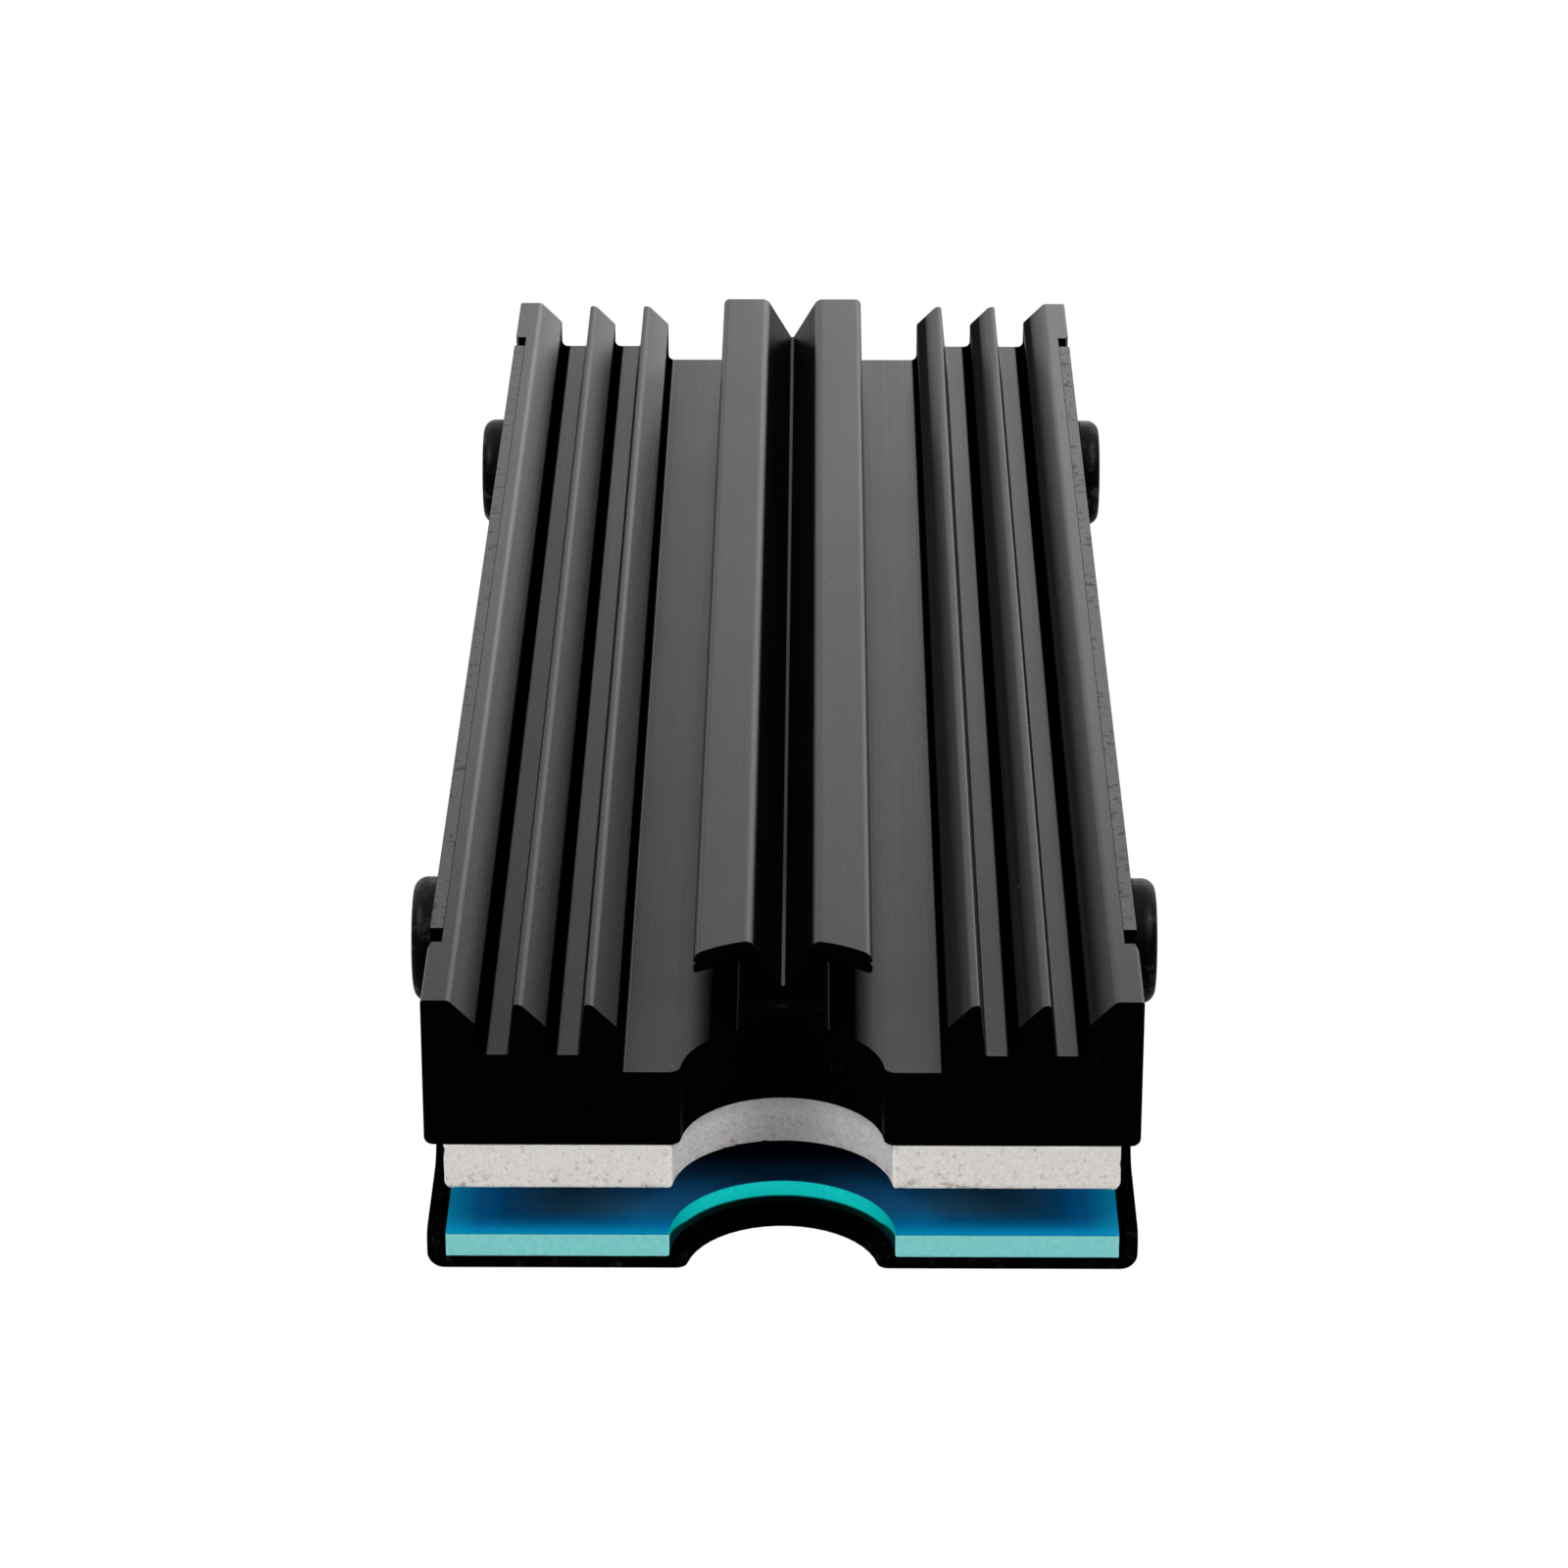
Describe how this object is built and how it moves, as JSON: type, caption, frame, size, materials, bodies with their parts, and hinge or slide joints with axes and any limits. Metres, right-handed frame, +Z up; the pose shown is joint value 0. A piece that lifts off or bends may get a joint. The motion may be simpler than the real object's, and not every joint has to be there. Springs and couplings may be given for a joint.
{
  "type": "ssd heat sink",
  "caption": "Finned black aluminium heat sink that clamps a slim drive card between a notched extrusion and a folded tray, each lined with a soft thermal pad.",
  "frame": {"origin": "middle of the tray's underside, in line with the middle of the extrusion's length", "axes": "+X across the width, +Y along the length from the notched front to the rear, +Z up from the tray to the fins"},
  "size_m": [0.0266, 0.07, 0.0105],
  "materials": {
    "black_anodised_extrusion": "satin black anodised, with fine die lines along its length",
    "black_anodised_sheet": "satin black anodised sheet",
    "white_silicone_pad": "matt filled silicone with fine specks",
    "mint_silicone_pad": "matt filled silicone",
    "blue_film": "smooth coloured film",
    "black_screw_steel": "blackened steel"
  },
  "bodies": {
    "root": {"heat_sink": "black_anodised_extrusion", "bottom_tray": "black_anodised_sheet", "upper_thermal_pad": "white_silicone_pad", "lower_thermal_pad": "mint_silicone_pad", "lower_pad_film": "blue_film", "front_left_screw": "black_screw_steel", "front_right_screw": "black_screw_steel", "rear_left_screw": "black_screw_steel", "rear_right_screw": "black_screw_steel"}
  },
  "joints": []
}
